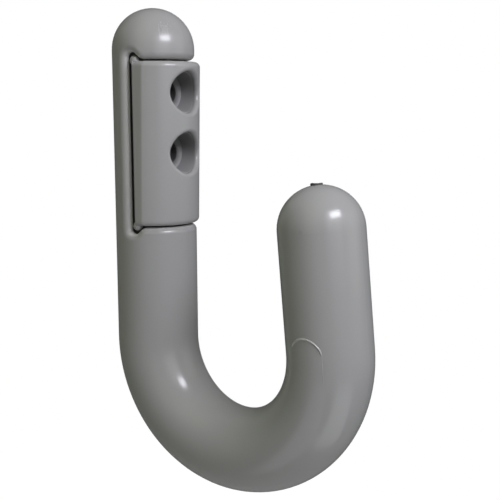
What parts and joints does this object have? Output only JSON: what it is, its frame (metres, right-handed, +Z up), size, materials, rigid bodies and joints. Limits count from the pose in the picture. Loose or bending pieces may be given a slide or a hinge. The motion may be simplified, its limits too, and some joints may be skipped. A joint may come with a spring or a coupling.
{
  "type": "coat hook",
  "caption": "Round-bar J coat hook with domed ends and an insert block in its long leg with deep recesses for wall screws.",
  "frame": {"origin": "on the wall plane, midway between the screw holes", "axes": "+X out of the wall, +Z up along the long leg, the J lies in the XZ plane and is symmetric about Y = 0"},
  "size_m": [0.0691, 0.02, 0.1157],
  "materials": {
    "hook_plastic": "satin moulded grey plastic",
    "insert_plastic": "satin moulded grey plastic"
  },
  "bodies": {
    "root": {"hook_body": "hook_plastic", "fixing_insert": "insert_plastic"}
  },
  "joints": []
}
